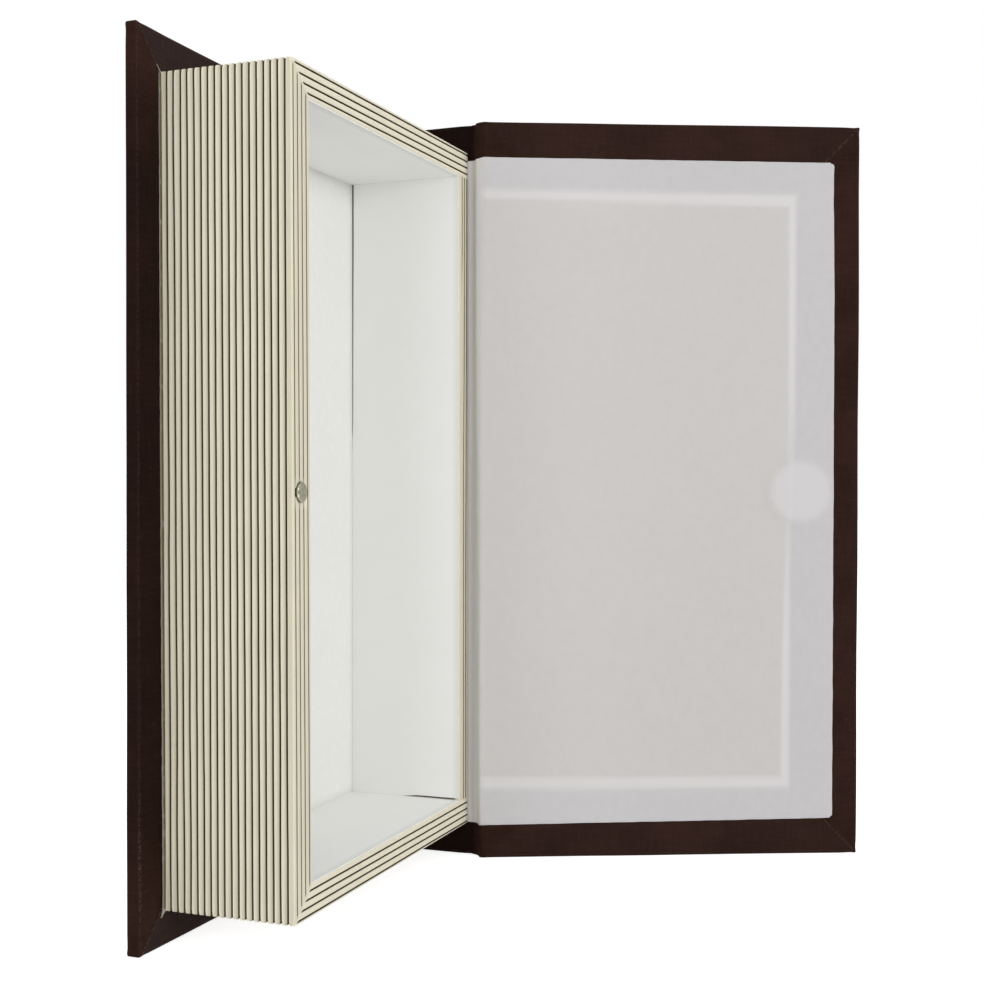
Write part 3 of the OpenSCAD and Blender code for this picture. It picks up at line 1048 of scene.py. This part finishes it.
def spine_rim_grooves(a):
    """The spine wall's two grooves wander, and a slip of the tool beside them ends below the head."""
    z = FRAME_LOW + END_T + a
    slip = 4.95 + 1.2 * smooth((225 - z) / 35)
    return [(0.55 + 1.1 * smooth((230 - z) / 150), 1.0), (2.85 + 0.75 * smooth((205 - z) / 70), 1.0),
            (slip, 0.8 * smooth((z - 195) / 30))]


fore_wall = wall("fore_edge_wall_painted", "fore_edge_wall", FRAME_SPAN, FORE_T, on_fore_wall, (END_T, END_T),
                 FACE_PLACES, fore_rim_grooves, 100, rim_shade=FORE_RIM_SHADE)
wall("head_wall_painted", "head_wall", FRAME_W, END_T, on_head_wall, (FORE_T, 0),
     FACE_PLACES, head_rim_grooves, 200)
wall("tail_wall_painted", "tail_wall", FRAME_W, END_T, on_tail_wall, (FORE_T, 0),
     FACE_PLACES, tail_rim_grooves, 300)
wall("spine_wall_painted", "spine_wall", FRAME_SPAN - 2 * END_T, SPINE_T, on_spine_wall, (0, 0),
     [], spine_rim_grooves, 400, SPINE_GROOVE_W, SPINE_RIM_SHADE)


# Magnet in its hole

magnet_middle = (magnet_low + magnet_high) / 2 - BOOK
magnet_centre = Vector((0, magnet_middle.y + MAGNET_OFF_Y, magnet_middle.z + MAGNET_OFF_Z))
MAGNET_BACK = magnet_low.x - BOOK.x
MAGNET_FACE = magnet_high.x - BOOK.x
MAGNET_R = MAGNET_D / 2 - 0.25
ROUND_STEPS = 72


def turned(name, outline, centre, material, marks):
    """A solid turned about X through centre, from pairs of radius and height along X."""
    points, turns = [], []
    for radius, along in outline:
        for k in range(ROUND_STEPS):
            turn = 2 * math.pi * k / ROUND_STEPS
            at = Vector((along, radius * math.cos(turn), radius * math.sin(turn)))
            points.append(centre + at)
            turns.append((turn, along, radius))
    values = {mark: [rule(*at) for at in turns] for mark, rule in marks.items()}
    return piece(name, points, tube_faces(points, ROUND_STEPS), in_frame, "book", material, values)


drill_r = MAGNET_R + MAGNET_FIT
# The hole's walls take the groove colour at part strength: bare board with painted shade.
drill = turned("drill", [(drill_r, MAGNET_BACK), (drill_r, RIM + 1)], magnet_centre, CREAM,
               {"cut": lambda turn, along, radius: 0.45})
cutter = fore_wall.modifiers.new("magnet_hole", "BOOLEAN")
cutter.operation = "DIFFERENCE"
cutter.object = drill
cutter.solver = "EXACT"
drawn = bpy.context.evaluated_depsgraph_get()
bored = bpy.data.meshes.new_from_object(fore_wall.evaluated_get(drawn))
fore_wall.modifiers.clear()
fore_wall.data = bored
bpy.data.objects.remove(drill)

CHIP = math.pi
GLINTS = (math.pi - 0.40, math.pi + 0.40)


# Painted shade on the magnet's side, heavy inside its hole and lighter where it stands proud, and a dark chip
# at one place on its rim.
def shaded_side_and_chip(turn, along, radius):
    if along < RIM + 0.1:
        return 0.9
    if along < MAGNET_FACE - 0.3:
        return 0.35
    return 0.8 * bell(turn - CHIP, 0.13) * smooth((radius - MAGNET_R + 0.7) / 0.4)


# Painted glints on the magnet's rim.
def glinting(turn, along, radius):
    near = 0.55 * max(bell(turn - at, 0.12) for at in GLINTS)
    return near * smooth((radius - MAGNET_R + 0.6) / 0.3) if along > MAGNET_FACE - 0.4 else 0.0


magnet_back = [(MAGNET_R * 0.4, 0.0), (MAGNET_R - 0.1, 0.02), (MAGNET_R, 0.15)]
magnet_front = [(MAGNET_R, 0.6), (MAGNET_R, 0.35), (MAGNET_R - 0.04, 0.18), (MAGNET_R - 0.14, 0.06),
                (MAGNET_R - 0.3, 0.01), (MAGNET_R - 0.5, 0.0), (MAGNET_R * 0.5, 0.02), (0.2, 0.03)]
magnet_outline = [(radius, MAGNET_BACK + rise) for radius, rise in magnet_back]
magnet_outline += [(radius, MAGNET_FACE - drop) for radius, drop in magnet_front]
magnet = turned("magnet_disc", magnet_outline, magnet_centre, NICKEL,
                {"dark": shaded_side_and_chip, "bright": glinting})
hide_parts("magnet")


# Paper linings inside the frame


def lining(name, node, place, us, vs, front, back, soil, outline=None):
    """A sheet of paper. place turns (u, v, depth) into the book's axes; front and back give its depths."""
    grids = ([], [])
    for grid, depth in zip(grids, (front, back)):
        for v in vs:
            row = []
            for u in us:
                at = outline(u, v) if outline else (u, v)
                row.append(place(*at, depth(u, v)))
            grid.append(row)
    soil_and_shade_grid = [[min(1.0, soil(u, v)) for u in us] for v in vs]
    made = sheet(name, *grids, in_frame, "book", "lining_paper", WHITE, {"soil": soil_and_shade_grid})
    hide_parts(node)


INNER_LOW = FRAME_LOW + END_T
INNER_HIGH = FRAME_HIGH - END_T
INNER_SPINE = FRAME_W - SPINE_T
LINING_TOP = RIM - LINING_DROP
PEEK = 1.0
# Painted shade on the linings: most on the floor, a little on the long walls, none on the end walls.
FLOOR_SHADE = 0.21
SIDE_SHADE = 0.05
END_SHADE = 0.0


def floor_soil_and_shade(y, z):
    """The floor's sheet is dark where it lies outside the frame, but for its cut edge and its torn tips;
    inside the frame, painted shade darkens it all over and more in its corners with the walls.
    """
    if y < 0.5:
        torn_tip = z < FRAME_LOW + 0.5 or z > FRAME_HIGH - 0.5
        return 0.75 if torn_tip or y < -PEEK * 0.9 else 1.0
    # Painted shade in the corners with the spine wall and the end walls.
    at_spine = 0.3 * bell(y - INNER_SPINE, 1.6)
    at_ends = 0.15 * bell(z - INNER_HIGH, 2.0) + 0.15 * bell(z - INNER_LOW, 2.0)
    return FLOOR_SHADE + at_spine + at_ends


def floor_outline(y, z):
    """The sheet's fore-edge is ragged, and a thin torn tip stands past each end of the frame there."""
    at_end = z > FRAME_HIGH - 0.01 or z < FRAME_LOW + 0.01
    if at_end:
        tip = smooth(-y / PEEK)
        return y - 0.9 * tip, z + (1.7 * tip if z > COVER_H / 2 else -1.5 * tip)
    if y < 0:
        y *= 0.85 + 0.12 * ripple(61, z / 5) + 0.10 * ripple(62, z / 1.3)
    return y, z


def along_floor(y, z, depth):
    return depth, y, z


def flat(at):
    return lambda u, v: at


END_ROWS = (0.0, 0.4, 1.0, 2.0, 4.0, 7.0)
floor_ys = [-PEEK * share for share in (1.0, 0.93, 0.86, 0.5, 0.0)]
floor_ys += [0.4] + spread(FORE_T, INNER_SPINE + 1, 30) + [FRAME_W]
floor_zs = [FRAME_LOW + t for t in END_ROWS] + spread(INNER_LOW, INNER_HIGH, 160)
floor_zs += [FRAME_HIGH - t for t in reversed(END_ROWS)]
lining("floor_paper", "floor_lining", along_floor, floor_ys, floor_zs, flat(FLOOR_T), flat(0.02),
       floor_soil_and_shade, floor_outline)


def wall_painted_shade(shade_level):
    """Painted shade on a wall's lining: an even darkening, and a little more just under the rim."""
    return lambda c, along: shade_level + 0.15 * bell(c - LINING_TOP, 1.0)


def spine_outline(c, z):
    """The sheet stops short of the floor towards the head, and short of the tail near the rim."""
    low = FLOOR_T + 0.05 + 0.35 * smooth((z - 146) / 20) + 0.3 * smooth((z - 170) / 70)
    short = 0.7 * smooth((c - 20) / 8) * bell(z - INNER_LOW - LINING_T, 2.0)
    return low + (LINING_TOP - low) * (c - FLOOR_T) / (LINING_TOP - FLOOR_T), z + short


def bulging(seed, at):
    return lambda u, v: at + 0.03 * ripple(seed, u / 12, v / 20)


def across_wall(c, z, depth):
    return c, depth, z


def across_end(c, y, depth):
    return c, y, depth


heights = spread(FLOOR_T, LINING_TOP, 16)
lengths = spread(INNER_LOW + LINING_T, INNER_HIGH - LINING_T, 70)
widths = spread(FORE_T, INNER_SPINE, 40)
lining("spine_wall_paper", "spine_lining", across_wall, heights, lengths,
       bulging(71, INNER_SPINE - LINING_T), flat(INNER_SPINE), wall_painted_shade(SIDE_SHADE), spine_outline)
lining("fore_edge_wall_paper", "fore_edge_lining", across_wall, heights, lengths,
       bulging(72, FORE_T + LINING_T), flat(FORE_T), wall_painted_shade(SIDE_SHADE))
lining("head_wall_paper", "head_lining", across_end, heights, widths,
       bulging(73, INNER_HIGH - LINING_T), flat(INNER_HIGH), wall_painted_shade(END_SHADE))
lining("tail_wall_paper", "tail_lining", across_end, heights, widths,
       bulging(74, INNER_LOW + LINING_T), flat(INNER_LOW), wall_painted_shade(END_SHADE))


# Pieces inside the covers, which stay as the frame has them


def paint(nodes, material):
    for name in nodes:
        cad = frame["nodes"][name]
        if not cad.material_slots:
            cad.data.materials.append(material)
        for holder in cad.material_slots:
            holder.material = material


paint(["spine_board", "lid_board"], BOARD)
paint(["back_infill_card", "spine_infill_card", "lid_infill_card"],
      hidden_board("infill_card", (0.68, 0.64, 0.56), 0.8))
paint(["keeper_disc"], hidden_board("steel_disc", (0.42, 0.42, 0.42), 0.5))


# Camera, from the photograph's viewing angle

PHOTO_PX = 984
FOCAL_PX = 1437.75
PRINCIPAL_PX = (497.5, 515.3)
SENSOR_MM = 36
CAMERA_AT = in_book(243.74, -361.87, 136.1)
CAMERA_YAW = math.radians(-20.822)
CAMERA_PITCH = math.radians(1.071)
CAMERA_ROLL = math.radians(0.037)


def set_camera():
    level = Vector((math.sin(CAMERA_YAW), math.cos(CAMERA_YAW), 0))
    right = Vector((math.cos(CAMERA_YAW), -math.sin(CAMERA_YAW), 0))
    up = Vector((0, 0, 1))
    ahead = level * math.cos(CAMERA_PITCH) - up * math.sin(CAMERA_PITCH)
    above = level * math.sin(CAMERA_PITCH) + up * math.cos(CAMERA_PITCH)
    lens = bpy.data.cameras.new("camera")
    lens.sensor_width = SENSOR_MM
    lens.lens = FOCAL_PX / PHOTO_PX * SENSOR_MM
    lens.shift_x = (PHOTO_PX / 2 - PRINCIPAL_PX[0]) / PHOTO_PX
    lens.shift_y = (PRINCIPAL_PX[1] - PHOTO_PX / 2) / PHOTO_PX
    lens.clip_start = 0.01
    lens.clip_end = 50
    holder = add_object("camera", lens)
    turned_to = Matrix((right, above, -ahead)).transposed().to_4x4() @ Matrix.Rotation(CAMERA_ROLL, 4, "Z")
    holder.matrix_world = Matrix.Translation(CAMERA_AT) @ turned_to
    bpy.context.scene.camera = holder


# Floor, white surroundings and soft light


def seen_by_eye_or_gloss(nodes):
    """1 for rays from the camera, from gloss or through glass."""
    path = nodes.add("ShaderNodeLightPath").outputs
    seen = nodes.math("MAXIMUM", path["Is Camera Ray"], path["Is Glossy Ray"])
    return nodes.math("MAXIMUM", seen, path["Is Transmission Ray"])


def set_world(light):
    """White to the eye and in gloss, while the light that it throws has its own strength."""
    world = bpy.data.worlds.new("studio")
    nodes = Nodes(world)
    background = nodes.tree.nodes["Background"]
    nodes.feed(background.inputs["Color"], (1, 1, 1, 1))
    strength = nodes.math("MULTIPLY_ADD", seen_by_eye_or_gloss(nodes), 1 - light, light)
    nodes.feed(background.inputs["Strength"], strength)
    bpy.context.scene.world = world


def floor_material(colour, glow):
    """A matt floor that looks white to the eye and keeps the object's shadow."""
    material = bpy.data.materials.new("floor")
    nodes = Nodes(material)
    nodes.tree.nodes.remove(nodes.tree.nodes["Principled BSDF"])
    matt = nodes.add("ShaderNodeBsdfDiffuse", Color=(*colour, 1))
    strength = nodes.math("MULTIPLY", seen_by_eye_or_gloss(nodes), glow)
    shine = nodes.add("ShaderNodeEmission", Strength=strength)
    both = nodes.add("ShaderNodeAddShader")
    nodes.feed(both.inputs[0], matt.outputs[0])
    nodes.feed(both.inputs[1], shine.outputs[0])
    nodes.feed(nodes.tree.nodes["Material Output"].inputs["Surface"], both.outputs[0])
    return material


def set_floor(size, material):
    mesh = bpy.data.meshes.new("floor")
    corners = [(-size, -size, 0), (size, -size, 0), (size, size, 0), (-size, size, 0)]
    mesh.from_pydata(corners, [], [(0, 1, 2, 3)])
    mesh.materials.append(material)
    made = add_object("floor", mesh)
    made.location.z = FLOOR_DROP


def lamp(name, at, target, size, power):
    light = bpy.data.lights.new(name, "AREA")
    light.shape = "SQUARE"
    light.size = size
    light.energy = power
    holder = add_object(name, light)
    holder.location = at
    holder.rotation_euler = (Vector(target) - Vector(at)).to_track_quat("-Z", "Y").to_euler()


WORLD_LIGHT = 0.625
FLOOR_SIZE = 6.0
FLOOR_DROP = -0.0002
FLOOR_COLOUR = (0.90, 0.90, 0.90)
FLOOR_GLOW = 0.8
BOOK_MIDDLE = (0, 0, 0.13)

set_camera()
set_world(WORLD_LIGHT)
set_floor(FLOOR_SIZE, floor_material(FLOOR_COLOUR, FLOOR_GLOW))
lamp("front", at=(-0.12, -2.0, 0.2), target=BOOK_MIDDLE, size=0.9, power=11)
lamp("right", at=(2.5, -0.85, 0.10), target=BOOK_MIDDLE, size=1.4, power=50)
lamp("above", at=(0.2, -0.5, 1.8), target=BOOK_MIDDLE, size=1.0, power=3)

bpy.context.scene.view_settings.view_transform = "Standard"
